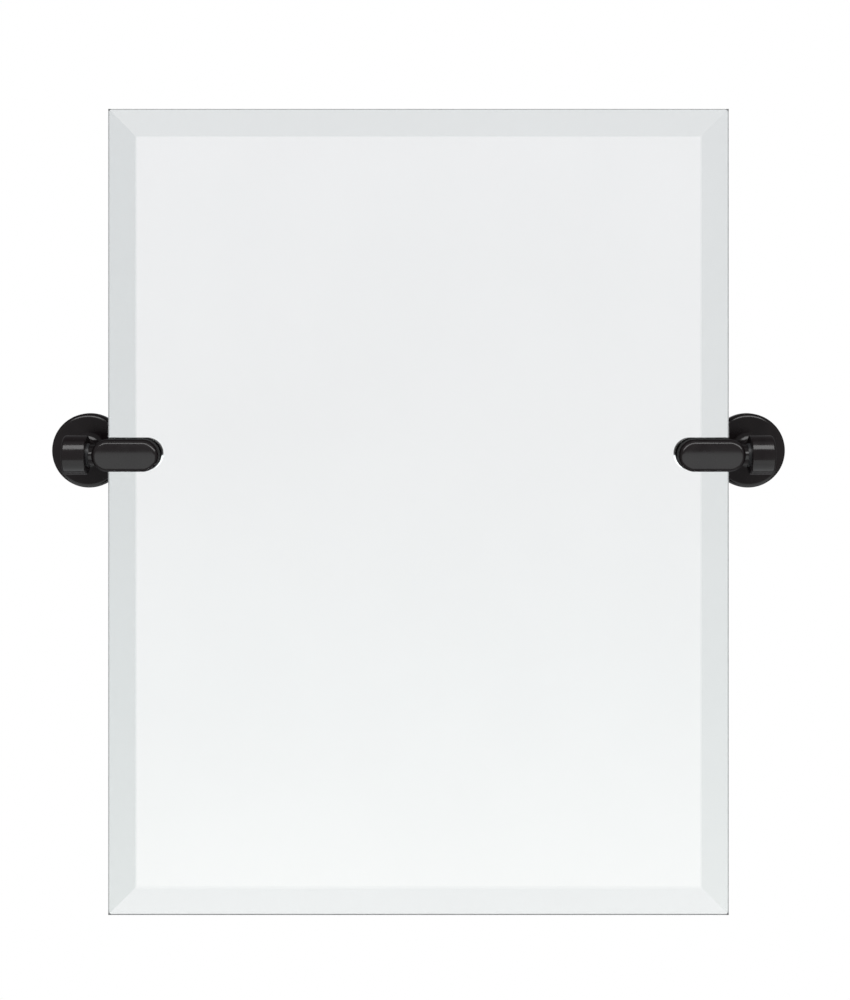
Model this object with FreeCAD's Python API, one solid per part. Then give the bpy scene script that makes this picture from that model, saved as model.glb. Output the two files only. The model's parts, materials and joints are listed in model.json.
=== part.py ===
"""Wall-mounted tilting mirror: a bevelled glass plate held at both sides by arms that turn in wall posts.

Millimetres. The origin is on the wall, midway between the two posts and level with the pivot axis.
+X runs along the pivot axis to the viewer's right, +Y into the wall and +Z up. "Out" is a distance from the
wall towards the viewer, so a place with out = 10 is at Y = -10. Every piece of the right-hand side is
modelled in place, and the left-hand side is its mirror image.
"""
import FreeCAD
import Part
import math
import os

from FreeCAD import Vector

# ---- Mirror plate ----
MIRROR_W = 508.0  # overall width of the glass
MIRROR_H = 660.0  # overall height of the glass
GLASS_T = 5.0
BEVEL_W = 22.5  # width of the polished bevel
BEVEL_DROP = 2.2  # thickness that the bevel takes off at the edge
ARRIS = 0.3  # seamed edge all round
SILVER_T = 0.15
FILM_T = 0.35  # safety film over the silvering
COATING_INSET = 0.5  # silvering and film stop this far inside the glass
GLASS_BACK_OUT = 56.2  # from the wall to the back of the glass
PIVOT_ABOVE_CENTRE = 47.0  # the pivot axis is this far above the middle of the glass

# ---- Pivot axis and post ----
AXIS_OUT = 64.0  # from the wall to the pivot axis
EDGE_TO_POST = 25.5  # from the edge of the glass to the middle of the post
FLANGE_R = 31.5
FLANGE_T = 10.0
FLANGE_ROUND = 4.0  # rounding of the flange's front rim
FLANGE_WALL = 5.5  # solid rim between the flange's outside and its hollow back
CAVITY_DEPTH = 7.4
STEM_R = 6.0
STEM_FLARE = 9.5  # concave sweep between flange and stem
HEAD_R = 16.0
HEAD_BODY_L = 16.0
HEAD_BLEND = 2.0  # fillet between stem and head
HEAD_EDGE = 1.0
CAP_L = 3.0
CAP_ROUND = 2.2
CAP_SPIGOT_L = 2.5
CAP_SPIGOT_WALL = 2.0

# ---- Pivot stack ----
PIN_R = 4.0
THREAD_R = 3.0
PIN_GRIP_L = 8.0  # threaded length held in the arm
BUSH_R = 6.0
BUSH_L = 7.5
COLLAR_R = 9.5  # flange of the bush, seen in the neck
COLLAR_T = 1.5
THRUST_WASHER_T = 0.5
WEB_T = 1.5  # wall between the bush seat and the nut recess
RECESS_R = 10.0
WASHER_R = 7.0
WASHER_T = 1.0
SPRING_R = 6.5
SPRING_T = 0.6
SPRING_H = 1.0
NUT_FLATS = 10.0
NUT_H = 4.5
RUN_FIT = 0.05  # radial clearance of a turning fit
SEAT_FIT = 0.05  # radial clearance of a pushed-in seat
FREE_GAP = 0.3  # clearance between parts that only pass each other

# ---- Clamp arm and jaw ----
ARM_OVERLAP = 43.0  # reach of the arm over the glass, measured from the glass edge
ARM_BEYOND = 11.5  # reach of the arm past the glass edge
ARM_HALF_H = 13.25
ARM_FRONT_OUT = 76.0
ARM_CROWN_R = 45.0  # radius of the softly rounded front face
ARM_CROWN_UP = 3.5  # the crown's ridge lies this far above the pivot axis
ARM_EDGE = 4.0
ARM_FOOT_EDGE = 0.4
NECK_R = 8.5
NECK_L = 2.0
PAD_T = 1.0
PAD_INSET = 1.5  # pads stop this far inside the arm's outline
EDGE_GAP = 1.2  # from the glass edge to the arm's shoulder
JAW_T = 7.0
JAW_INSET = 1.0
JAW_EDGE = 1.2
JAW_CLOSING_GAP = 0.2  # left between jaw and shoulder, so that the screws squeeze the pads
SCREW_R = 1.5
SCREW_HEAD_R = 2.9
SCREW_SPREAD = 5.4  # each screw is this far above or below the pivot axis
SCREW_WALL = 1.4  # metal between the glass pocket and the screws
SCREW_REACH = 11.0  # threaded length in the arm
SCREW_SOCKET_FLATS = 2.0
SCREW_SOCKET_DEPTH = 1.3
SCREW_SINK = 0.2  # the heads lie this far below the jaw's face

# ---- Hidden wall plate and flange set screw ----
PLATE_SLACK = 1.0  # room round the plate in the hollow flange, so that the flange can be hooked on
PLATE_T = 4.0
PLATE_DOVETAIL = 1.4  # the plate is this much smaller in radius at the wall
PLATE_EDGE = 0.5
SLOT_R = 2.6
SLOT_L = 9.0
SLOT_SPREAD = 15.0  # each slot is this far above or below the middle of the plate
LIP_T = 1.2  # thickness of the hook inside the top of the flange
LIP_REACH = 11.0  # the hook ends this far below the top of the plate
SET_SCREW_R = 2.0
SET_SCREW_OUT = 2.8
SET_SCREW_SOCKET_FLATS = 2.0
SET_SCREW_SOCKET_DEPTH = 2.4
SET_SCREW_POINT_L = 1.4
SET_SCREW_POINT_R = 0.6

# ---- Places worked out from the sizes above ----
CAVITY_R = FLANGE_R - FLANGE_WALL
PLATE_R = CAVITY_R - PLATE_SLACK
GLASS_FRONT_OUT = GLASS_BACK_OUT + GLASS_T
FILM_BACK_OUT = GLASS_BACK_OUT - SILVER_T - FILM_T
GLASS_EDGE_X = MIRROR_W / 2
POST_X = GLASS_EDGE_X + EDGE_TO_POST
HEAD_L = HEAD_BODY_L + CAP_L
HEAD_IN_X = POST_X - HEAD_L / 2
CAP_X = HEAD_IN_X + HEAD_BODY_L
HEAD_END_X = CAP_X + CAP_L
ARM_TIP_X = GLASS_EDGE_X - ARM_OVERLAP
ARM_END_X = GLASS_EDGE_X + ARM_BEYOND
ARM_BACK_OUT = GLASS_FRONT_OUT + PAD_T
SHOULDER_X = GLASS_EDGE_X + EDGE_GAP
JAW_FRONT_OUT = FILM_BACK_OUT - PAD_T
JAW_BACK_OUT = JAW_FRONT_OUT - JAW_T
SHOULDER_BACK_OUT = JAW_FRONT_OUT + JAW_CLOSING_GAP
NECK_END_X = HEAD_IN_X - COLLAR_T - THRUST_WASHER_T
SCREW_X = SHOULDER_X + SCREW_WALL + SCREW_R
WEB_X = HEAD_IN_X + BUSH_L
NUT_SIDE_X = WEB_X + WEB_T
ALONG_X, ALONG_Y, ALONG_Z = Vector(1, 0, 0), Vector(0, 1, 0), Vector(0, 0, 1)


def at(x, out, z):
    return Vector(x, -out, z)


def rod_x(radius, x0, x1, out=AXIS_OUT, z=0.0):
    """Round bar along X, on the pivot axis unless another place is given."""
    return Part.makeCylinder(radius, x1 - x0, at(x0, out, z), ALONG_X)


def rod_out(radius, x, z, out0, out1):
    """Round bar that stands out from the wall."""
    return Part.makeCylinder(radius, out1 - out0, at(x, out0, z), -ALONG_Y)


def ring_x(outer, inner, x0, x1):
    return rod_x(outer, x0, x1).cut(rod_x(inner, x0, x1))


def block(x0, x1, out0, out1, z0, z1):
    return Part.makeBox(x1 - x0, out1 - out0, z1 - z0, at(x0, out1, z0))


def hexagon(flats, centre, along, depth):
    """Six-sided prism with the given size across flats."""
    corner = flats / math.sqrt(3)
    side = ALONG_Z if abs(along.dot(ALONG_Z)) < 0.5 else ALONG_X
    other = along.cross(side)
    points = []
    for k in range(7):
        turn = math.radians(60 * k)
        points.append(centre + side * (corner * math.cos(turn)) + other * (corner * math.sin(turn)))
    return Part.Face(Part.makePolygon(points)).extrude(along * depth)


def stadium(x0, x1, half_height, out0, out1):
    """Flat bar with two half-round ends, seen from the front, and level with the pivot axis."""
    left, right = x0 + half_height, x1 - half_height
    top, low = half_height, -half_height
    edges = [
        Part.LineSegment(at(left, out0, low), at(right, out0, low)).toShape(),
        Part.Arc(at(right, out0, low), at(x1, out0, 0), at(right, out0, top)).toShape(),
        Part.LineSegment(at(right, out0, top), at(left, out0, top)).toShape(),
        Part.Arc(at(left, out0, top), at(x0, out0, 0), at(left, out0, low)).toShape(),
    ]
    return Part.Face(Part.Wire(edges)).extrude(Vector(0, out0 - out1, 0))


def turned(outline):
    """Solid of revolution about the pivot axis, from (radius, distance along X) pairs."""
    points = [at(along, AXIS_OUT + radius, 0) for radius, along in outline]
    return Part.Face(Part.makePolygon(points + points[:1])).revolve(at(0, AXIS_OUT, 0), ALONG_X, 360)


def edges_where(shape, test):
    """Edges of the shape whose bounding box passes the test."""
    return [edge for edge in shape.Edges if test(edge.BoundBox)]


def mirror_glass():
    """Float glass with a polished bevel on all four sides of its front."""
    half_w, top, low = MIRROR_W / 2, MIRROR_H / 2 - PIVOT_ABOVE_CENTRE, -MIRROR_H / 2 - PIVOT_ABOVE_CENTRE
    glass = block(-half_w, half_w, GLASS_BACK_OUT, GLASS_FRONT_OUT, low, top)
    rim_out = GLASS_FRONT_OUT - BEVEL_DROP
    rise = BEVEL_DROP / BEVEL_W  # slope of the bevel
    spare = 1.0  # the cutting wedges run this far past the plate
    for sign in (-1, 1):
        rim, inner = sign * (half_w + spare), sign * (half_w - BEVEL_W)
        wedge = [
            at(inner, GLASS_FRONT_OUT, low - spare),
            at(rim, rim_out - rise * spare, low - spare),
            at(rim, GLASS_FRONT_OUT + spare, low - spare),
            at(inner, GLASS_FRONT_OUT + spare, low - spare),
        ]
        wedge = Part.Face(Part.makePolygon(wedge + wedge[:1]))
        glass = glass.cut(wedge.extrude(ALONG_Z * (MIRROR_H + 2 * spare)))
    for edge_z, sign in ((top, 1), (low, -1)):
        rim, inner = edge_z + sign * spare, edge_z - sign * BEVEL_W
        wedge = [
            at(-half_w - spare, GLASS_FRONT_OUT, inner),
            at(-half_w - spare, rim_out - rise * spare, rim),
            at(-half_w - spare, GLASS_FRONT_OUT + spare, rim),
            at(-half_w - spare, GLASS_FRONT_OUT + spare, inner),
        ]
        wedge = Part.Face(Part.makePolygon(wedge + wedge[:1]))
        glass = glass.cut(wedge.extrude(ALONG_X * (MIRROR_W + 2 * spare)))

    def on_rim(box):
        at_side = box.XLength < 0.01 and abs(abs(box.XMin) - half_w) < 0.01
        at_end = box.ZLength < 0.01 and min(abs(box.ZMin - low), abs(box.ZMin - top)) < 0.01
        return (at_side or at_end) and box.YLength < 0.01

    return glass.makeChamfer(ARRIS, edges_where(glass, on_rim))


def coating(out0, out1, inset):
    """A thin even layer behind the glass."""
    half_w, middle = MIRROR_W / 2 - inset, -PIVOT_ABOVE_CENTRE
    half_h = MIRROR_H / 2 - inset
    return block(-half_w, half_w, out0, out1, middle - half_h, middle + half_h)


def silver_layer():
    return coating(GLASS_BACK_OUT - SILVER_T, GLASS_BACK_OUT, COATING_INSET)


def backing_film():
    return coating(FILM_BACK_OUT, GLASS_BACK_OUT - SILVER_T, 2 * COATING_INSET)


def post():
    """One casting: hollow wall flange, flared stem and a round head that lies along the pivot axis."""
    flare_r = STEM_R + STEM_FLARE
    rim_start = FLANGE_T - FLANGE_ROUND
    face_r = FLANGE_R - FLANGE_ROUND
    diagonal = math.sin(math.radians(45))
    stem_end = AXIS_OUT - HEAD_R / 2

    def p(r, out):
        return at(POST_X + r, out, 0)

    rim_mid = p(face_r + FLANGE_ROUND * diagonal, rim_start + FLANGE_ROUND * diagonal)
    flare_mid = p(flare_r - STEM_FLARE * diagonal, FLANGE_T + STEM_FLARE * (1 - diagonal))
    edges = [
        Part.LineSegment(p(0, 0), p(FLANGE_R, 0)).toShape(),
        Part.LineSegment(p(FLANGE_R, 0), p(FLANGE_R, rim_start)).toShape(),
        Part.Arc(p(FLANGE_R, rim_start), rim_mid, p(face_r, FLANGE_T)).toShape(),
        Part.LineSegment(p(face_r, FLANGE_T), p(flare_r, FLANGE_T)).toShape(),
        Part.Arc(p(flare_r, FLANGE_T), flare_mid, p(STEM_R, FLANGE_T + STEM_FLARE)).toShape(),
        Part.LineSegment(p(STEM_R, FLANGE_T + STEM_FLARE), p(STEM_R, stem_end)).toShape(),
        Part.LineSegment(p(STEM_R, stem_end), p(0, stem_end)).toShape(),
        Part.LineSegment(p(0, stem_end), p(0, 0)).toShape(),
    ]
    body = Part.Face(Part.Wire(edges)).revolve(at(POST_X, 0, 0), ALONG_Y, 360)
    body = body.fuse(rod_x(HEAD_R, HEAD_IN_X, CAP_X)).removeSplitter()

    def at_stem_top(box):
        near = AXIS_OUT - HEAD_R - 1 < -box.Center.y < AXIS_OUT - HEAD_R / 2
        return near and box.XLength < 2 * STEM_R + 1 and box.ZLength > STEM_R / 2

    body = body.makeFillet(HEAD_BLEND, edges_where(body, at_stem_top))

    def at_head_front(box):
        return box.XLength < 0.01 and abs(box.XMin - HEAD_IN_X) < 0.01 and box.ZLength > HEAD_R

    body = body.makeFillet(HEAD_EDGE, edges_where(body, at_head_front))
    body = body.cut(rod_out(CAVITY_R, POST_X, 0, 0, CAVITY_DEPTH))
    body = body.cut(rod_x(BUSH_R, HEAD_IN_X, WEB_X))
    body = body.cut(rod_x(PIN_R + FREE_GAP, WEB_X, NUT_SIDE_X))
    body = body.cut(rod_x(RECESS_R, NUT_SIDE_X, CAP_X))
    body = body.fuse(flange_lip())
    below = at(POST_X, SET_SCREW_OUT, -FLANGE_R - 1)
    return body.cut(Part.makeCylinder(SET_SCREW_R, FLANGE_R, below, ALONG_Z))


def flange_lip():
    """Hook inside the top of the flange, which catches behind the wall plate's dovetail."""
    inner = plate_rim(LIP_T) + FREE_GAP
    outer = (CAVITY_R + FLANGE_R) / 2
    ring = rod_out(outer, POST_X, 0, 0, LIP_T).cut(rod_out(inner, POST_X, 0, 0, LIP_T))
    return ring.common(block(POST_X - outer, POST_X + outer, 0, LIP_T, PLATE_R - LIP_REACH, outer))


def plate_rim(out):
    """Radius of the wall plate's dovetail at a distance from the wall."""
    return PLATE_R - PLATE_DOVETAIL * (1 - out / PLATE_T)


def wall_plate():
    """Dovetailed disc that is screwed to the wall through two level slots."""
    plate = Part.makeCone(PLATE_R - PLATE_DOVETAIL, PLATE_R, PLATE_T, at(POST_X, 0, 0), -ALONG_Y)
    plate = plate.makeChamfer(PLATE_EDGE, edges_where(plate, lambda box: abs(box.YMin + PLATE_T) < 0.01
                                                      and box.YLength < 0.01))
    reach = SLOT_L / 2 - SLOT_R
    for z in (-SLOT_SPREAD, SLOT_SPREAD):
        slot = block(POST_X - reach, POST_X + reach, -1, PLATE_T + 1, z - SLOT_R, z + SLOT_R)
        for x in (POST_X - reach, POST_X + reach):
            slot = slot.fuse(rod_out(SLOT_R, x, z, -1, PLATE_T + 1))
        plate = plate.cut(slot.removeSplitter())
    return plate


def flange_set_screw():
    """Socket set screw under the flange. Its point bears on the dovetail and draws the flange to the wall."""
    tip = -plate_rim(SET_SCREW_OUT + SET_SCREW_POINT_R) - SEAT_FIT
    neck = tip - SET_SCREW_POINT_L
    mouth = -math.sqrt(FLANGE_R ** 2 - SET_SCREW_R ** 2) + FREE_GAP
    radius = SET_SCREW_R - SEAT_FIT
    start, end_of_body = at(POST_X, SET_SCREW_OUT, mouth), at(POST_X, SET_SCREW_OUT, neck)
    body = Part.makeCylinder(radius, neck - mouth, start, ALONG_Z)
    point = Part.makeCone(radius, SET_SCREW_POINT_R, SET_SCREW_POINT_L, end_of_body, ALONG_Z)
    socket = hexagon(SET_SCREW_SOCKET_FLATS, start, ALONG_Z, SET_SCREW_SOCKET_DEPTH)
    return body.fuse(point).removeSplitter().cut(socket)


def pivot_bush():
    """Flanged plastic bush in the head. Its collar shows in the neck between arm and head."""
    sleeve = rod_x(BUSH_R - SEAT_FIT, HEAD_IN_X, WEB_X)
    collar = rod_x(COLLAR_R, HEAD_IN_X - COLLAR_T, HEAD_IN_X)
    return collar.fuse(sleeve).cut(rod_x(PIN_R + RUN_FIT, HEAD_IN_X - COLLAR_T, WEB_X))


def thrust_washer():
    return ring_x(COLLAR_R - 0.5, PIN_R + RUN_FIT, NECK_END_X, NECK_END_X + THRUST_WASHER_T)


def pivot_pin():
    """Shouldered stud: one end is screwed into the arm, the other carries the lock nut."""
    tip = 0.5  # chamfer on both ends
    start, end = NECK_END_X - PIN_GRIP_L, NUT_SIDE_X + WASHER_T + SPRING_H + NUT_H + 0.2
    shoulder_end = NUT_SIDE_X - FREE_GAP
    outline = [
        (0, start), (THREAD_R - tip, start), (THREAD_R, start + tip), (THREAD_R, NECK_END_X),
        (PIN_R, NECK_END_X), (PIN_R, shoulder_end), (THREAD_R, shoulder_end),
        (THREAD_R, end - tip), (THREAD_R - tip, end), (0, end),
    ]
    return turned(outline)


def flat_washer():
    return ring_x(WASHER_R, THREAD_R + 0.2, NUT_SIDE_X, NUT_SIDE_X + WASHER_T)


def spring_washer():
    """Dished spring that keeps the pivot stack under friction."""
    start = NUT_SIDE_X + WASHER_T
    inner = THREAD_R + 0.2
    outline = [
        (SPRING_R, start), (SPRING_R, start + SPRING_T),
        (inner, start + SPRING_H), (inner, start + SPRING_H - SPRING_T),
    ]
    return turned(outline)


def lock_nut():
    start = NUT_SIDE_X + WASHER_T + SPRING_H
    nut = hexagon(NUT_FLATS, at(start, AXIS_OUT, 0), ALONG_X, NUT_H)
    bevel, corner = 0.9, NUT_FLATS / math.sqrt(3)
    envelope = turned([
        (0, start), (corner - bevel / 2, start), (corner, start + bevel / 2),
        (corner, start + NUT_H - bevel), (corner - bevel, start + NUT_H), (0, start + NUT_H),
    ])
    return nut.common(envelope).cut(rod_x(THREAD_R + SEAT_FIT, start, start + NUT_H))


def end_cap():
    """Push-in cap that closes the outer end of the head."""
    disc = rod_x(HEAD_R, CAP_X, HEAD_END_X)
    disc = disc.makeFillet(CAP_ROUND, edges_where(disc, lambda box: box.XMin > HEAD_END_X - 0.01))
    spigot_r = RECESS_R - SEAT_FIT
    return disc.fuse(ring_x(spigot_r, spigot_r - CAP_SPIGOT_WALL, CAP_X - CAP_SPIGOT_L, CAP_X))


def jaw_screw_holes(radius, out0, out1):
    holes = [rod_out(radius, SCREW_X, z, out0, out1) for z in (-SCREW_SPREAD, SCREW_SPREAD)]
    return holes[0].fuse(holes[1])


def front_arm():
    """Crowned arm across the front of the glass, with a shoulder past its edge and a neck for the pivot."""
    arm = stadium(ARM_TIP_X, ARM_END_X, ARM_HALF_H, SHOULDER_BACK_OUT, ARM_FRONT_OUT + 1)
    crown_out = ARM_FRONT_OUT - ARM_CROWN_R
    arm = arm.common(rod_x(ARM_CROWN_R, ARM_TIP_X - 1, ARM_END_X + 1, crown_out, ARM_CROWN_UP))
    front = ARM_FRONT_OUT - ARM_CROWN_R / 4
    arm = arm.makeFillet(ARM_EDGE, edges_where(arm, lambda box: -box.YMax > front and (
        box.YLength < ARM_HALF_H and -box.YMin > front)))
    foot = edges_where(arm, lambda box: abs(-box.YMax - SHOULDER_BACK_OUT) < 0.01 and box.YLength < 0.01)
    arm = arm.makeFillet(ARM_FOOT_EDGE, foot)
    arm = arm.cut(block(ARM_TIP_X - 1, SHOULDER_X, SHOULDER_BACK_OUT - 1, ARM_BACK_OUT,
                        -ARM_HALF_H - 1, ARM_HALF_H + 1))
    neck = rod_x(NECK_R, ARM_END_X - ARM_HALF_H / 4, NECK_END_X)
    arm = arm.fuse(neck)
    arm = arm.cut(rod_x(THREAD_R + SEAT_FIT, NECK_END_X - PIN_GRIP_L - FREE_GAP, NECK_END_X))
    return arm.cut(jaw_screw_holes(SCREW_R + SEAT_FIT, SHOULDER_BACK_OUT,
                                   SHOULDER_BACK_OUT + SCREW_REACH + 2 * FREE_GAP))


def back_jaw():
    """Clamp plate behind the glass, drawn to the arm's shoulder by two screws."""
    start, end, half = ARM_TIP_X + JAW_INSET, ARM_END_X - JAW_INSET, ARM_HALF_H - JAW_INSET
    jaw = stadium(start, end, half, JAW_BACK_OUT, JAW_FRONT_OUT)
    back = edges_where(jaw, lambda box: abs(-box.YMax - JAW_BACK_OUT) < 0.01 and box.YLength < 0.01)
    jaw = jaw.makeFillet(JAW_EDGE, back)
    jaw = jaw.cut(jaw_screw_holes(SCREW_R + 0.25, JAW_BACK_OUT, JAW_FRONT_OUT))
    for z in (-SCREW_SPREAD, SCREW_SPREAD):
        jaw = jaw.cut(screw_head(z, SEAT_FIT))
    return jaw


def screw_head(z, grow):
    """Countersunk head, or with grow above 0 the seat it lies in, open to the jaw's back."""
    top = JAW_BACK_OUT + (0 if grow else SCREW_SINK)
    height = SCREW_HEAD_R - SCREW_R
    rim = JAW_BACK_OUT + SCREW_SINK
    cone = Part.makeCone(SCREW_HEAD_R + grow, SCREW_R + grow, height, at(SCREW_X, rim, z), -ALONG_Y)
    return cone.fuse(rod_out(SCREW_HEAD_R + grow, SCREW_X, z, top, rim)) if grow else cone


def jaw_screws():
    screws = []
    for z in (-SCREW_SPREAD, SCREW_SPREAD):
        rim = JAW_BACK_OUT + SCREW_SINK
        shank = rod_out(SCREW_R, SCREW_X, z, rim + 0.5, SHOULDER_BACK_OUT + SCREW_REACH)
        socket = hexagon(SCREW_SOCKET_FLATS, at(SCREW_X, rim, z), -ALONG_Y, SCREW_SOCKET_DEPTH)
        screws.append(screw_head(z, 0).fuse(shank).removeSplitter().cut(socket))
    return Part.makeCompound(screws)


def front_pad():
    """Moulded pad between arm and glass. It is thicker over the bevel, which it fills."""
    half = ARM_HALF_H - PAD_INSET
    pad = stadium(ARM_TIP_X + PAD_INSET, ARM_END_X, half, GLASS_FRONT_OUT - BEVEL_DROP, ARM_BACK_OUT)
    beyond = block(GLASS_EDGE_X - ARRIS - 0.1, ARM_END_X + 1, 0, ARM_BACK_OUT + 1, -ARM_HALF_H, ARM_HALF_H)
    return pad.cut(beyond).cut(mirror_glass())


def rear_pad():
    half = ARM_HALF_H - JAW_INSET - PAD_INSET
    start = ARM_TIP_X + JAW_INSET + PAD_INSET
    pad = stadium(start, ARM_END_X, half, JAW_FRONT_OUT, FILM_BACK_OUT)
    inner_edge = GLASS_EDGE_X - 3 * COATING_INSET
    return pad.cut(block(inner_edge, ARM_END_X + 1, 0, FILM_BACK_OUT + 1, -ARM_HALF_H, ARM_HALF_H))


SIDE_PIECES = {
    "wall_plate": wall_plate, "post": post, "flange_set_screw": flange_set_screw, "end_cap": end_cap,
    "pivot_bush": pivot_bush, "thrust_washer": thrust_washer, "pivot_pin": pivot_pin,
    "flat_washer": flat_washer, "spring_washer": spring_washer, "lock_nut": lock_nut,
    "front_arm": front_arm, "back_jaw": back_jaw, "jaw_screws": jaw_screws,
    "front_pad": front_pad, "rear_pad": rear_pad,
}
SINGLE_PIECES = {"mirror_glass": mirror_glass, "silver_layer": silver_layer, "backing_film": backing_film}


def main():
    os.makedirs("parts", exist_ok=True)
    for name, make in SINGLE_PIECES.items():
        make().exportStep(f"parts/{name}.step")
    for name, make in SIDE_PIECES.items():
        right = make()
        left = right.mirror(Vector(0, 0, 0), ALONG_X)
        for side, shape in (("right", right), ("left", left)):
            shape.exportStep(f"parts/{name}_{side}.step")
            kinds = {solid.isValid() for solid in shape.Solids}
            print(f"{name}_{side}: {len(shape.Solids)} solid(s), {shape.Volume:.1f} mm3, valid {kinds}")


main()
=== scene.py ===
# %% [markdown]
# # A wall-mounted tilting mirror, finished in Blender
#
# The model comes from CAD: a bevelled glass plate, two clamp arms, and two round-flanged posts that the arms turn in.
# Its shapes and sizes are final, so this lesson is about finishes and light. Every piece but the silvering keeps its
# CAD mesh, and gets a material that is worked out from its position in metres. A texture that is tied to real sizes
# has the right scale on a 10 mm nut and on a 660 mm plate alike, and needs no UV map.

# %% Load the frame
import bpy
import json
import math
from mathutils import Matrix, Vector


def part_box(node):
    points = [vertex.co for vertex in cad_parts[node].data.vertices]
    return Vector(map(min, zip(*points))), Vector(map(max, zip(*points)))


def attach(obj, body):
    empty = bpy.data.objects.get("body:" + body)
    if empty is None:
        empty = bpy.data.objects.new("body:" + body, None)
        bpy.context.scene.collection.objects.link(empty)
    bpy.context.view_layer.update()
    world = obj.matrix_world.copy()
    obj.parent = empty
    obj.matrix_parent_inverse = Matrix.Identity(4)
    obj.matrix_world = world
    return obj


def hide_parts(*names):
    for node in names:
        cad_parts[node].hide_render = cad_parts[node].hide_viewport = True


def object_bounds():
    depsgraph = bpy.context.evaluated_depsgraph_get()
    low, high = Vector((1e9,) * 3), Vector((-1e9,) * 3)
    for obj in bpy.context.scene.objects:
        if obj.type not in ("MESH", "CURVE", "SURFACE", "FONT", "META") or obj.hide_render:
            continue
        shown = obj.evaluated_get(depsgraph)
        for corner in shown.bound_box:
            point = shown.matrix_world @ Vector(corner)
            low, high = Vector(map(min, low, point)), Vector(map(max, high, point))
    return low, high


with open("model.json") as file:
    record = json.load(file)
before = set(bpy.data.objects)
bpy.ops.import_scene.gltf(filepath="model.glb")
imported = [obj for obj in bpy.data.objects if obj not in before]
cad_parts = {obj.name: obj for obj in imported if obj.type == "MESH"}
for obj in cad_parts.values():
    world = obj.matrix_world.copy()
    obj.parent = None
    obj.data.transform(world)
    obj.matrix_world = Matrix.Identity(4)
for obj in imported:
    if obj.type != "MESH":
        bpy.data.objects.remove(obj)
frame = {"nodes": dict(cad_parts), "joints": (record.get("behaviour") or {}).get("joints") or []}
cad_low, cad_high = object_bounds()
nodes = frame["nodes"]
MM = 1000.0  # millimetres in a metre, for what is printed
cad_size = (cad_high - cad_low) * MM
print(f"{len(nodes)} pieces, {cad_size.x:.0f} mm wide and {cad_size.z:.0f} mm high")

# %% [markdown]
# ## The camera
#
# A product picture of a flat thing is usually taken square on, with the camera's back parallel to the wall, so that the
# frame's sides stay parallel. The lens then sits a little above the pivot axis, and the picture is shifted down instead
# of tilting the camera. Tilting would make the plate's sides lean.

# %% Place the camera
glass_low, glass_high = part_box("mirror_glass")
GLASS_FRONT = glass_low.y
CAMERA_FROM_GLASS = 1.42
CAMERA_HEIGHT = 0.0938  # above the pivot axis
LENS_MM = 62.55
SENSOR_MM = 36.0
SHIFT_RIGHT = 0.0065  # as a share of the picture's longer side
SHIFT_UP = -0.16

camera_data = bpy.data.cameras.new("camera")
camera_data.lens = LENS_MM
camera_data.sensor_width = SENSOR_MM
camera_data.shift_x = SHIFT_RIGHT
camera_data.shift_y = SHIFT_UP
camera = bpy.data.objects.new("camera", camera_data)
camera.location = (0.0, GLASS_FRONT - CAMERA_FROM_GLASS, CAMERA_HEIGHT)
camera.rotation_euler = (math.radians(90), 0.0, 0.0)
bpy.context.scene.collection.objects.link(camera)
bpy.context.scene.camera = camera
print("camera at", [round(v, 3) for v in camera.location])

# %% [markdown]
# ## Small helpers for node trees
#
# A material is a list of nodes and the links between them. These helpers keep that list readable: one adds a node and
# sets its values, and the others make the few arrangements of nodes that come back again and again, such as a sum, a
# mix of two colours, or a position split into X, Y and Z. Numbers that stay the same all over a surface are typed into
# the shader's own sockets, because other programs can read them there.

# %% Node helpers
def add(tree, kind, values=None, **settings):
    """Add a node. values sets its input sockets by name or number, and settings its properties."""
    node = tree.nodes.new(kind)
    for key, value in settings.items():
        setattr(node, key, value)
    for key, value in (values or {}).items():
        node.inputs[key].default_value = value
    return node


def math_node(tree, operation, first, second=None, third=None, clamp=False):
    """A Math node whose inputs are numbers or sockets. Returns its output socket."""
    node = add(tree, "ShaderNodeMath", operation=operation, use_clamp=clamp)
    for slot, value in enumerate((first, second, third)):
        if value is None:
            continue
        if isinstance(value, (int, float)):
            node.inputs[slot].default_value = value
        else:
            tree.links.new(value, node.inputs[slot])
    return node.outputs[0]


def mix_colours(tree, mask, low, high):
    """Run from one colour to another by a mask. Either may be a colour or a socket. Returns the output socket."""
    mix = add(tree, "ShaderNodeMix", data_type="RGBA")
    for socket, colour in ((mix.inputs["A"], low), (mix.inputs["B"], high)):
        if isinstance(colour, tuple):
            socket.default_value = (*colour, 1.0)
        else:
            tree.links.new(colour, socket)
    tree.links.new(mask, mix.inputs["Factor"])
    return mix.outputs["Result"]


def ramp_between(tree, value, start, end, **settings):
    """Run from 0 at start to 1 at end, and stay there. Returns the output socket."""
    spread = add(tree, "ShaderNodeMapRange", {"From Min": start, "From Max": end}, **settings)
    tree.links.new(value, spread.inputs["Value"])
    return spread.outputs["Result"]


def coordinates(tree, kind="Object"):
    """The X, Y and Z sockets of a texture coordinate."""
    place = add(tree, "ShaderNodeTexCoord")
    split = add(tree, "ShaderNodeSeparateXYZ")
    tree.links.new(place.outputs[kind], split.inputs[0])
    return split.outputs


def new_group(name, inputs, outputs):
    """An empty shader node group. inputs and outputs are (name, kind, default) and (name, kind)."""
    group = bpy.data.node_groups.new(name, "ShaderNodeTree")
    for label, kind, default in inputs:
        group.interface.new_socket(label, in_out="INPUT", socket_type=kind).default_value = default
    for label, kind in outputs:
        group.interface.new_socket(label, in_out="OUTPUT", socket_type=kind)
    return group, group.nodes.new("NodeGroupInput"), group.nodes.new("NodeGroupOutput")


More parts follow.
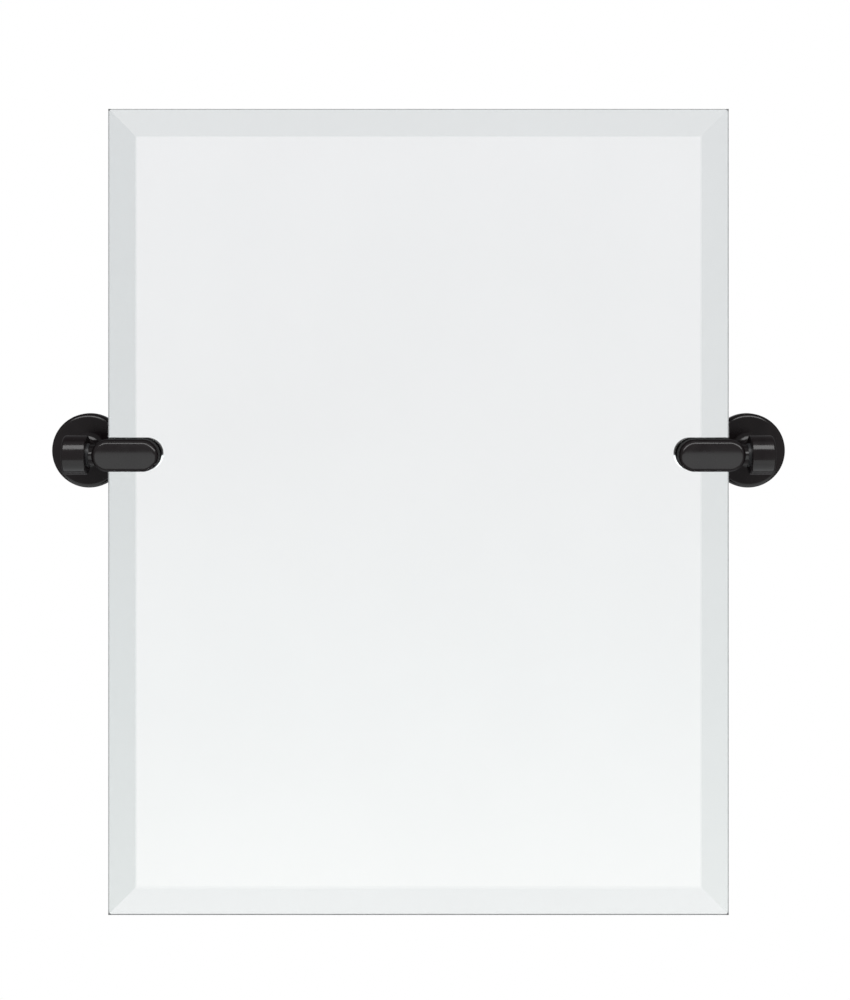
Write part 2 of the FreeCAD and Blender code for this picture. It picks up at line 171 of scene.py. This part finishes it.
def use_group(tree, name, **values):
    """Place a node group in a tree. Underscores in value names stand for spaces."""
    node = add(tree, "ShaderNodeGroup", node_tree=bpy.data.node_groups[name])
    for key, value in values.items():
        socket = node.inputs[key.replace("_", " ")]
        if isinstance(value, (int, float, tuple)):
            socket.default_value = value
        else:
            tree.links.new(value, socket)
    return node


print("node helpers ready")

# %% [markdown]
# ## Grain
#
# No real finish is even. Lacquer pools a little, plating has cloudy patches and moulded plastic has a fine skin. One
# group makes all of these: a noise in object space, stretched between two limits so that a material can ask for a soft
# cloud or for sharp specks. Object coordinates are in metres, so a scale of 1000 gives features of about a millimetre.

# %% Grain group
FLOAT = "NodeSocketFloat"

grain, grain_in, grain_out = new_group(
    "grain",
    [("Scale", FLOAT, 400.0), ("Detail", FLOAT, 3.0), ("Low", FLOAT, 0.35), ("High", FLOAT, 0.65)],
    [("Mask", FLOAT)],
)
place = add(grain, "ShaderNodeTexCoord")
noise = add(grain, "ShaderNodeTexNoise")
spread = add(grain, "ShaderNodeMapRange", interpolation_type="SMOOTHSTEP")
grain.links.new(place.outputs["Object"], noise.inputs["Vector"])
grain.links.new(grain_in.outputs["Scale"], noise.inputs["Scale"])
grain.links.new(grain_in.outputs["Detail"], noise.inputs["Detail"])
grain.links.new(noise.outputs["Fac"], spread.inputs["Value"])
grain.links.new(grain_in.outputs["Low"], spread.inputs["From Min"])
grain.links.new(grain_in.outputs["High"], spread.inputs["From Max"])
grain.links.new(spread.outputs["Result"], grain_out.inputs["Mask"])
print("group:", grain.name)

# %% [markdown]
# ## Dust
#
# Dust settles on what faces up. The group compares the surface normal with straight up, and breaks the result with fine
# noise so that it reads as specks and not as a coat of paint. It uses the object's own normal, so it stays put when the
# mirror tilts.

# %% Dust group
dust, dust_in, dust_out = new_group(
    "dust", [("Amount", FLOAT, 0.3), ("Speck Scale", FLOAT, 2500.0)], [("Mask", FLOAT)]
)
normal = coordinates(dust, "Normal")
facing_up = math_node(dust, "POWER", math_node(dust, "MAXIMUM", normal["Z"], 0.0), 2.0)
place = add(dust, "ShaderNodeTexCoord")
specks = add(dust, "ShaderNodeTexNoise", {"Detail": 5.0, "Roughness": 0.7})
dust.links.new(place.outputs["Object"], specks.inputs["Vector"])
dust.links.new(dust_in.outputs["Speck Scale"], specks.inputs["Scale"])
mask = math_node(dust, "MULTIPLY", facing_up, ramp_between(dust, specks.outputs["Fac"], 0.5, 0.68))
dust.links.new(math_node(dust, "MULTIPLY", mask, dust_in.outputs["Amount"], clamp=True), dust_out.inputs["Mask"])
print("group:", dust.name)

# %% [markdown]
# ## Turning marks
#
# Pins, washers and bushes are cut on a lathe, which leaves fine rings round the axis and circles on the end faces. Both
# come from one trick: a noise that only knows how far along the axis and how far from the axis a point is. The pivot
# axis runs along X through every turned piece, so the group measures from that line.

# %% Turning marks group
PIVOT = Vector(frame["joints"][0]["pos_m"])


def from_pivot_axis(tree, position):
    """Distance from the pivot axis, as a socket. position is what coordinates() returns."""
    across = math_node(tree, "SUBTRACT", position["Y"], PIVOT.y)
    squares = [math_node(tree, "MULTIPLY", part, part) for part in (across, position["Z"])]
    return math_node(tree, "SQRT", math_node(tree, "ADD", *squares))


turning, turning_in, turning_out = new_group("turning_marks", [("Scale", FLOAT, 9000.0)], [("Height", FLOAT)])
position = coordinates(turning)
join = add(turning, "ShaderNodeCombineXYZ")
turning.links.new(position["X"], join.inputs["X"])
turning.links.new(from_pivot_axis(turning, position), join.inputs["Y"])
rings = add(turning, "ShaderNodeTexNoise", {"Detail": 2.0})
turning.links.new(join.outputs[0], rings.inputs["Vector"])
turning.links.new(turning_in.outputs["Scale"], rings.inputs["Scale"])
turning.links.new(rings.outputs["Fac"], turning_out.inputs["Height"])
print("group:", turning.name, "round the axis at y =", round(PIVOT.y, 4))

# %% [markdown]
# ## Screw threads
#
# The CAD screws are plain cylinders, because a real thread would cost thousands of faces inside a closed post. A bump
# that rises and falls once for each pitch gives the same look. It needs two numbers: the distance along the screw and
# the pitch.

# %% Thread group
thread, thread_in, thread_out = new_group(
    "thread", [("Along", FLOAT, 0.0), ("Pitch", FLOAT, 0.001)], [("Height", FLOAT)]
)
turns = math_node(thread, "DIVIDE", thread_in.outputs["Along"], thread_in.outputs["Pitch"])
thread.links.new(math_node(thread, "PINGPONG", turns, 0.5), thread_out.inputs["Height"])
print("group:", thread.name)

# %% [markdown]
# ## A starting point for every material
#
# Each finish starts as one Principled shader with plain numbers. The helper below makes it, and a second one adds a
# bump. The bump's distance is in metres too: orange peel on lacquer is a few micrometres high, and that is what is
# typed in.

# %% Material helpers
def new_material(name, colour, roughness, metallic=0.0, **sockets):
    """A material with one Principled shader. Returns the material, its tree and the shader."""
    material = bpy.data.materials.new(name)
    material.use_nodes = True
    tree = material.node_tree
    shader = tree.nodes["Principled BSDF"]
    shader.inputs["Base Color"].default_value = (*colour, 1.0)
    shader.inputs["Roughness"].default_value = roughness
    shader.inputs["Metallic"].default_value = metallic
    for key, value in sockets.items():
        shader.inputs[key.replace("_", " ")].default_value = value
    return material, tree, shader


def add_bump(tree, shader, height, distance, strength=1.0):
    """Feed a height into the shader's normal. distance is the real height in metres."""
    bump = add(tree, "ShaderNodeBump", {"Strength": strength, "Distance": distance})
    tree.links.new(height, bump.inputs["Height"])
    tree.links.new(bump.outputs["Normal"], shader.inputs["Normal"])
    return bump


def vary_colour(tree, shader, mask, low, high):
    """Run the base colour from low to high by a mask. Either may be a colour or a socket."""
    colour = mix_colours(tree, mask, low, high)
    tree.links.new(colour, shader.inputs["Base Color"])
    return colour


def vary_roughness(tree, shader, mask, low, high):
    """Run the roughness from low to high by a mask."""
    tree.links.new(math_node(tree, "MULTIPLY_ADD", mask, high - low, low), shader.inputs["Roughness"])


def finish_nodes(material, *names):
    """Give CAD nodes this material in every slot. A name without a side means both sides."""
    count = 0
    for name in names:
        for node_name in (name, f"{name}_left", f"{name}_right"):
            if node_name in nodes:
                mesh = nodes[node_name].data
                mesh.materials.clear()
                mesh.materials.append(material)
                count += 1
    print(f"{material.name}: {count} pieces")


print("material helpers ready")

# %% [markdown]
# ## Black lacquer
#
# The posts, caps, arms and jaws are die-cast and then lacquered gloss black. Black gloss is almost all reflection: its
# own colour is nearly nothing, so the lamps and the white room draw the shape. The lacquer is a little softer than
# glass, so its roughness is low but not zero, and a faint orange peel breaks the edges of the reflections. Its specular
# level is low, which keeps the blacks deep in a white room.

# %% Lacquer
DUST_GREY = (0.05, 0.048, 0.045)
PEEL_HEIGHT = 0.000002

lacquer, tree, shader = new_material("black_lacquer", (0.0034, 0.0026, 0.0028), 0.13, Specular_IOR_Level=0.12)
pooling = use_group(tree, "grain", Scale=60.0, Detail=2.0, Low=0.3, High=0.7)
settled = use_group(tree, "dust", Amount=0.06, Speck_Scale=3200.0)
base = vary_colour(tree, shader, pooling.outputs["Mask"], (0.0030, 0.0022, 0.0024), (0.0042, 0.0033, 0.0035))
vary_colour(tree, shader, settled.outputs["Mask"], base, DUST_GREY)
vary_roughness(tree, shader, pooling.outputs["Mask"], 0.13, 0.19)
peel = use_group(tree, "grain", Scale=700.0, Detail=1.0, Low=0.2, High=0.8)
add_bump(tree, shader, peel.outputs["Mask"], PEEL_HEIGHT)
finish_nodes(lacquer, "post", "end_cap", "front_arm", "back_jaw")

# %% [markdown]
# ## Glass with a polished bevel
#
# The plate is clear float glass, so it is a fully transmissive shader. Light crosses it twice on its way to the
# silvering and back, and float glass is slightly green, so a faint green stays in it. The ground and polished bevel
# is given a much darker tint: a little of it is that green, and the rest is painted shade for the darker reflection a
# bevel shows. It is what makes the bevel read as a band. A mask from the object's own normal finds it: only the bevel
# leans a few degrees out of the plate's plane, and only the edge faces look sideways. Each side of the bevel gets a
# different strength of this painted shade, a painted reflection of the lighter or darker room that side faces. The
# side is told from how far the normal leans sideways and upwards, as a share of how far it points out of the plate. A
# share is the same whether light goes in or comes out, while the normal itself turns round.

# %% Glass
CLEAR_GLASS = (0.985, 0.992, 0.990)
# painted shade: the bevel band is darkened well past the glass's own faint green
BEVEL_TINT_AND_SHADE = (0.75, 0.78, 0.78)
EDGE_GREEN = (0.30, 0.46, 0.42)

glass, tree, shader = new_material("float_glass", CLEAR_GLASS, 0.0, IOR=1.5, Transmission_Weight=1.0)
normal = coordinates(tree, "Normal")
flatness = math_node(tree, "ABSOLUTE", normal["Y"])  # 1 on the face, 0.995 on the bevel, 0 on the edges
on_bevel = ramp_between(tree, flatness, 0.9985, 0.9965)
on_edge = ramp_between(tree, flatness, 0.6, 0.2)
sideways = math_node(tree, "DIVIDE", normal["X"], normal["Y"])
upwards = math_node(tree, "DIVIDE", normal["Z"], normal["Y"])
# painted reflection: each side of the bevel gets its own strength of painted shade, lighter or darker as the room it
# faces
strength = math_node(tree, "MULTIPLY_ADD", sideways, 1.1, 0.33)
strength = math_node(tree, "MULTIPLY_ADD", math_node(tree, "ABSOLUTE", sideways), 4.0, strength)
strength = math_node(tree, "MULTIPLY_ADD", upwards, -1.65, strength)
bevel_shade_mask = math_node(tree, "MULTIPLY", on_bevel, strength, clamp=True)
face_colour = mix_colours(tree, bevel_shade_mask, CLEAR_GLASS, BEVEL_TINT_AND_SHADE)
vary_colour(tree, shader, on_edge, face_colour, EDGE_GREEN)
finish_nodes(glass, "mirror_glass")

# %% [markdown]
# ## Silvering
#
# Behind the glass lies a film of silver, which is what turns a window into a mirror. It is a metal with no roughness at
# all. In CAD the layer touches the glass, and a ray tracer can't tell which of two touching faces comes first, so it
# would lose the reflection. The sheet made here stands for that layer and starts three hundredths of a millimetre
# behind the glass. Its corners are rounded a little, as sprayed silvering is where it ends short of the glass edge.

# %% Silvering
SILVER_GAP = 0.00003  # between the glass and the sheet
CORNER_R = 0.002
CORNER_STEPS = 6
silver_low, silver_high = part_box("silver_layer")


def rounded_outline(low, high, radius, steps):
    """Points round a rectangle in the XZ plane with rounded corners."""
    outline = []
    corners = ((high.x, high.z, 0), (low.x, high.z, 90), (low.x, low.z, 180), (high.x, low.z, 270))
    for x, z, start in corners:
        centre_x = x - math.copysign(radius, x)
        centre_z = z - math.copysign(radius, z)
        for k in range(steps + 1):
            turn = math.radians(start + 90 * k / steps)
            outline.append((centre_x + radius * math.cos(turn), centre_z + radius * math.sin(turn)))
    return outline


outline = rounded_outline(silver_low, silver_high, CORNER_R, CORNER_STEPS)
count = len(outline)
points = [(x, y, z) for y in (silver_low.y + SILVER_GAP, silver_high.y) for x, z in outline]
faces = [list(range(count)), list(range(2 * count - 1, count - 1, -1))]
faces += [(k, k + count, (k + 1) % count + count, (k + 1) % count) for k in range(count)]
sheet_mesh = bpy.data.meshes.new("silver_sheet")
sheet_mesh.from_pydata(points, [], faces)
silver_sheet = bpy.data.objects.new("silver_sheet", sheet_mesh)
bpy.context.scene.collection.objects.link(silver_sheet)
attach(silver_sheet, "mirror_assembly")
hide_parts("silver_layer")
silver, tree, shader = new_material("silvering", (0.93, 0.935, 0.94), 0.0, metallic=1.0)
depth = use_group(tree, "grain", Scale=9.0, Detail=1.0, Low=0.3, High=0.7)
vary_colour(tree, shader, depth.outputs["Mask"], (0.925, 0.930, 0.935), (0.935, 0.940, 0.945))
sheet_mesh.materials.append(silver)
print(f"silver sheet with {count} outline points")

# %% [markdown]
# ## Backing film
#
# A grey plastic film is glued over the silvering, so that broken glass stays together. It has a fine woven-looking
# press pattern: two waves that cross at a right angle, half a millimetre apart, with a cloudy sheen over them.

# %% Backing film
PRESS_PITCH = 0.0005

film, tree, shader = new_material("backing_film", (0.30, 0.32, 0.34), 0.5)
cloud = use_group(tree, "grain", Scale=14.0, Detail=4.0, Low=0.3, High=0.7)
vary_colour(tree, shader, cloud.outputs["Mask"], (0.29, 0.31, 0.33), (0.315, 0.335, 0.355))
vary_roughness(tree, shader, cloud.outputs["Mask"], 0.45, 0.54)
position = coordinates(tree)
weave = [math_node(tree, "PINGPONG", math_node(tree, "DIVIDE", position[axis], PRESS_PITCH), 0.5) for axis in "XZ"]
add_bump(tree, shader, math_node(tree, "MULTIPLY", *weave), 0.00006, 0.6)
finish_nodes(film, "backing_film")

# %% [markdown]
# ## Plated, turned and oiled steel
#
# The pieces inside are steel in four finishes. The wall plates and nuts are zinc plated, bright with cloudy patches.
# The pivot pins and flat washers are turned stainless, so they get the lathe's rings. The spring washers are darker,
# tempered steel. The jaw screws and set screws are oxidised black and slightly oily.

# %% Steel finishes
zinc, tree, shader = new_material("zinc_plate", (0.60, 0.61, 0.62), 0.3, metallic=1.0)
spangle = use_group(tree, "grain", Scale=220.0, Detail=4.0, Low=0.35, High=0.65)
vary_colour(tree, shader, spangle.outputs["Mask"], (0.54, 0.55, 0.55), (0.66, 0.67, 0.70))
vary_roughness(tree, shader, spangle.outputs["Mask"], 0.24, 0.38)
add_bump(tree, shader, spangle.outputs["Mask"], 0.000006)
finish_nodes(zinc, "wall_plate", "lock_nut")

stainless, tree, shader = new_material("turned_stainless", (0.60, 0.585, 0.57), 0.24, metallic=1.0)
marks = use_group(tree, "turning_marks", Scale=9000.0)
vary_roughness(tree, shader, marks.outputs["Height"], 0.16, 0.34)
add_bump(tree, shader, marks.outputs["Height"], 0.000008)
finish_nodes(stainless, "flat_washer")

spring, tree, shader = new_material("spring_steel", (0.24, 0.22, 0.21), 0.34, metallic=1.0)
temper = use_group(tree, "grain", Scale=150.0, Detail=3.0, Low=0.3, High=0.7)
vary_colour(tree, shader, temper.outputs["Mask"], (0.20, 0.18, 0.18), (0.28, 0.25, 0.22))
marks = use_group(tree, "turning_marks", Scale=6000.0)
add_bump(tree, shader, marks.outputs["Height"], 0.000006)
finish_nodes(spring, "spring_washer")

# %% [markdown]
# ## Threaded pieces
#
# The pins are threaded at both ends and smooth in the middle, where the bush runs. The thread is thinner than the
# smooth part, so the distance from the axis tells the two apart. The jaw screws run along Y and the set screws along
# Z, so each gets its own copy of the oiled black finish with the thread laid along its own direction.

# %% Pin and screws
PIN_PITCH, PIN_THREAD_DEPTH = 0.001, 0.0009
PIN_THREAD_R = 0.0032  # nothing on the pin's thread is further from the axis than this
SCREW_PITCH, SCREW_THREAD_DEPTH = 0.0007, 0.0006

pin, tree, shader = new_material("threaded_pin", (0.60, 0.585, 0.57), 0.22, metallic=1.0)
position = coordinates(tree)
winding = use_group(tree, "thread", Along=position["X"], Pitch=PIN_PITCH)
on_thread = math_node(tree, "LESS_THAN", from_pivot_axis(tree, position), PIN_THREAD_R)
marks = use_group(tree, "turning_marks", Scale=9000.0)
vary_roughness(tree, shader, marks.outputs["Height"], 0.14, 0.32)
add_bump(tree, shader, math_node(tree, "MULTIPLY", winding.outputs["Height"], on_thread), PIN_THREAD_DEPTH)
finish_nodes(pin, "pivot_pin")

for name, along in (("jaw_screws", "Y"), ("flange_set_screw", "Z")):
    oxide, tree, shader = new_material(f"oiled_black_{name}", (0.022, 0.022, 0.024), 0.36, metallic=0.6)
    oil = use_group(tree, "grain", Scale=500.0, Detail=3.0, Low=0.35, High=0.65)
    vary_colour(tree, shader, oil.outputs["Mask"], (0.018, 0.018, 0.020), (0.034, 0.032, 0.030))
    vary_roughness(tree, shader, oil.outputs["Mask"], 0.28, 0.46)
    winding = use_group(tree, "thread", Along=coordinates(tree)[along], Pitch=SCREW_PITCH)
    add_bump(tree, shader, winding.outputs["Height"], SCREW_THREAD_DEPTH)
    finish_nodes(oxide, name)

# %% [markdown]
# ## Moulded plastic and rubber
#
# The bush is black nylon, with the fine skin of a mould. The thrust washer beside it is a harder black plastic, turned
# to thickness, so it has the lathe's rings. The pads are soft rubber: rough, with a dusty bloom that makes their black
# a little grey.

# %% Plastics
nylon, tree, shader = new_material("black_nylon", (0.012, 0.012, 0.013), 0.36, Specular_IOR_Level=0.2)
skin = use_group(tree, "grain", Scale=4000.0, Detail=2.0, Low=0.3, High=0.7)
vary_roughness(tree, shader, skin.outputs["Mask"], 0.36, 0.5)
add_bump(tree, shader, skin.outputs["Mask"], 0.000006)
finish_nodes(nylon, "pivot_bush")

slick, tree, shader = new_material("black_acetal", (0.010, 0.010, 0.011), 0.34, Specular_IOR_Level=0.2)
haze = use_group(tree, "grain", Scale=900.0, Detail=3.0, Low=0.3, High=0.7)
vary_colour(tree, shader, haze.outputs["Mask"], (0.008, 0.008, 0.009), (0.013, 0.013, 0.014))
marks = use_group(tree, "turning_marks", Scale=5000.0)
add_bump(tree, shader, marks.outputs["Height"], 0.000005)
finish_nodes(slick, "thrust_washer")

rubber, tree, shader = new_material("pad_rubber", (0.014, 0.014, 0.014), 0.75, Specular_IOR_Level=0.25)
bloom = use_group(tree, "grain", Scale=300.0, Detail=5.0, Low=0.3, High=0.7)
vary_colour(tree, shader, bloom.outputs["Mask"], (0.011, 0.011, 0.012), (0.020, 0.020, 0.019))
vary_roughness(tree, shader, bloom.outputs["Mask"], 0.6, 0.82)
pores = use_group(tree, "grain", Scale=5000.0, Detail=2.0, Low=0.4, High=0.7)
add_bump(tree, shader, pores.outputs["Mask"], 0.00001)
finish_nodes(rubber, "front_pad", "rear_pad")

# %% [markdown]
# ## The room
#
# A mirror shows the room, so the room has to be designed as carefully as the object. It is a white studio: straight
# white for the camera, and for reflections a soft gradient that is a little darker higher up. The half of the room on
# the wall's side is dim, as it is behind a real wall, so the turned edges of the black metal stay dark. The Light Path
# node tells camera rays from the rest, so the background can be pure white without flooding the object with light. It
# also counts bounces. Light that has met both the lacquer and the silvering sees a dim room, as if black cloth hung
# beside each arm, because at a grazing angle the arms' sides would otherwise be as bright as the mirror.

# %% World
world = bpy.data.worlds.new("white_studio")
bpy.context.scene.world = world
world.use_nodes = True
WHITE = (1.0, 1.0, 1.0, 1.0)
LOW_TONE, HIGH_TONE = (1.0, 1.0, 0.99, 1.0), (0.885, 0.878, 0.89, 1.0)
MIDDLE_TONES = ((0.25, (0.922, 0.925, 0.925, 1.0)), (0.5, (0.885, 0.880, 0.885, 1.0)))
WALL_SIDE = (0.16, 0.16, 0.165)
BLACK_CLOTH = (0.10, 0.10, 0.10)

tree = world.node_tree
tree.nodes.clear()
direction = coordinates(tree, "Generated")
ramp = add(tree, "ShaderNodeValToRGB")
tree.links.new(ramp_between(tree, direction["Z"], -0.35, 0.25), ramp.inputs["Fac"])
stops = ramp.color_ramp.elements
stops[0].color, stops[1].color = LOW_TONE, HIGH_TONE
for height, tone in MIDDLE_TONES:
    stops.new(height).color = tone
path = add(tree, "ShaderNodeLightPath")
towards_wall = ramp_between(tree, direction["Y"], -0.25, 0.15, interpolation_type="SMOOTHSTEP")
room = mix_colours(tree, towards_wall, ramp.outputs["Color"], WALL_SIDE)
second_bounce = math_node(tree, "GREATER_THAN", path.outputs["Glossy Depth"], 1.5)
reflected = add(tree, "ShaderNodeBackground", {"Strength": 1.125})
tree.links.new(mix_colours(tree, second_bounce, room, BLACK_CLOTH), reflected.inputs["Color"])
soft = add(tree, "ShaderNodeBackground", {"Color": (0.95, 0.97, 1.0, 1.0), "Strength": 0.55})
backdrop = add(tree, "ShaderNodeBackground", {"Color": WHITE, "Strength": 1.0})
seen = math_node(tree, "MAXIMUM", path.outputs["Is Glossy Ray"], path.outputs["Is Transmission Ray"])
inner, outer = add(tree, "ShaderNodeMixShader"), add(tree, "ShaderNodeMixShader")
tree.links.new(seen, inner.inputs[0])
tree.links.new(soft.outputs[0], inner.inputs[1])
tree.links.new(reflected.outputs[0], inner.inputs[2])
tree.links.new(path.outputs["Is Camera Ray"], outer.inputs[0])
tree.links.new(inner.outputs[0], outer.inputs[1])
tree.links.new(backdrop.outputs[0], outer.inputs[2])
tree.links.new(outer.outputs[0], add(tree, "ShaderNodeOutputWorld").inputs["Surface"])
print("world:", world.name)

# %% [markdown]
# ## The floor
#
# The mirror hangs on a wall that isn't part of it, so only a pale floor stands in for the studio, far enough below to
# leave the plate's reflection alone. It is a disc with a rounded upturned rim, which is the paper sweep of a small
# product studio.

# %% Floor
FLOOR_DEPTH = 1.25  # below the bottom of the glass
FLOOR_RADIUS = 1.5
RIM_START = 0.85  # share of the radius where the rim begins to rise
RIM_RISE = 0.10
rings, segments = 24, 96
floor_z = glass_low.z - FLOOR_DEPTH
points, faces = [(0.0, 0.0, floor_z)], []
for ring in range(1, rings + 1):
    share = ring / rings
    lift = RIM_RISE * (max(0.0, share - RIM_START) / (1.0 - RIM_START)) ** 2
    for k in range(segments):
        turn = 2 * math.pi * k / segments
        points.append((FLOOR_RADIUS * share * math.cos(turn), FLOOR_RADIUS * share * math.sin(turn), floor_z + lift))
for k in range(segments):
    faces.append((0, 1 + k, 1 + (k + 1) % segments))
for ring in range(rings - 1):
    a, b = 1 + ring * segments, 1 + (ring + 1) * segments
    faces += [(a + k, b + k, b + (k + 1) % segments, a + (k + 1) % segments) for k in range(segments)]
floor_mesh = bpy.data.meshes.new("floor")
floor_mesh.from_pydata(points, [], faces)
floor_mesh.shade_smooth()
floor = bpy.data.objects.new("floor", floor_mesh)
bpy.context.scene.collection.objects.link(floor)
paper, tree, shader = new_material("paper_sweep", (0.86, 0.86, 0.86), 0.9)
fibres = use_group(tree, "grain", Scale=1200.0, Detail=4.0, Low=0.3, High=0.7)
vary_colour(tree, shader, fibres.outputs["Mask"], (0.85, 0.85, 0.85), (0.88, 0.88, 0.88))
glow = add(tree, "ShaderNodeEmission", {"Color": WHITE, "Strength": 1.0})
path = add(tree, "ShaderNodeLightPath")
mix = add(tree, "ShaderNodeMixShader")
tree.links.new(path.outputs["Is Camera Ray"], mix.inputs[0])
tree.links.new(shader.outputs[0], mix.inputs[1])
tree.links.new(glow.outputs[0], mix.inputs[2])
tree.links.new(mix.outputs[0], tree.nodes["Material Output"].inputs["Surface"])
floor_mesh.materials.append(paper)
print(f"floor {FLOOR_DEPTH * MM:.0f} mm below the glass")

# %% [markdown]
# ## The lamps
#
# Gloss black shows lamps as shapes, so their sizes and places are chosen by what the metal should show. A long soft box
# high in front draws a thin bright line along the top of each round part. Low cards under the camera draw the grey band
# along the lower half. The plate would show these lamps as a white glare, so each is linked to the pieces that need it:
# a light linking collection lists the pieces that may see the lamp. In a real studio the same is done with a flag. The
# arms have a strip of their own, lower than the long box, which lights the rounded edge beside their front face.

# %% Lamps
COOL_WHITE = (0.95, 1.0, 1.0)


def soft_box(name, place, width, height, power, colour=(1.0, 1.0, 1.0)):
    """A rectangular lamp that faces the origin. Sizes are in metres and power in watts."""
    data = bpy.data.lights.new(name, "AREA")
    data.shape = "RECTANGLE"
    data.size, data.size_y = width, height
    data.energy = power
    data.color = colour
    lamp = bpy.data.objects.new(name, data)
    lamp.location = place
    lamp.rotation_euler = (-Vector(place)).to_track_quat("-Z", "Y").to_euler()
    bpy.context.scene.collection.objects.link(lamp)
    print(f"{name}: {width:.2f} x {height:.2f} m, {power:.0f} W")
    return lamp


def link_to(lamp, *pieces):
    """Let this lamp light only these pieces."""
    listed = bpy.data.collections.new(f"{lamp.name}_lights")
    for piece in pieces:
        listed.objects.link(piece)
    lamp.light_linking.receiver_collection = listed


def pair(name):
    """The left and the right piece of this name."""
    return nodes[f"{name}_left"], nodes[f"{name}_right"]


arms = pair("front_arm")
plate_pieces = (nodes["mirror_glass"], nodes["silver_layer"])
overhead_box = soft_box("overhead_box", (0.0, -1.1, 1.25), width=2.6, height=0.7, power=84.0)
link_to(overhead_box, floor, *(piece for piece in nodes.values() if piece not in arms + plate_pieces))
arm_strip = soft_box("arm_strip", (0.3, -1.2, 0.62), width=2.4, height=0.35, power=46.0)
link_to(arm_strip, *arms)
arm_card = soft_box("arm_card", (0.0, -1.9, -0.92), width=3.0, height=1.6, power=55.0, colour=COOL_WHITE)
link_to(arm_card, *arms)
post_card = soft_box("post_card", (0.0, -0.55, -1.1), width=3.0, height=1.9, power=48.0, colour=COOL_WHITE)
link_to(post_card, *pair("post"), *pair("end_cap"))

# %% [markdown]
# ## Finishing
#
# The render settings that matter here are few. The Standard view transform shows a colour as it is written, which suits
# a white studio.

# %% Finish
bpy.context.scene.view_settings.view_transform = "Standard"
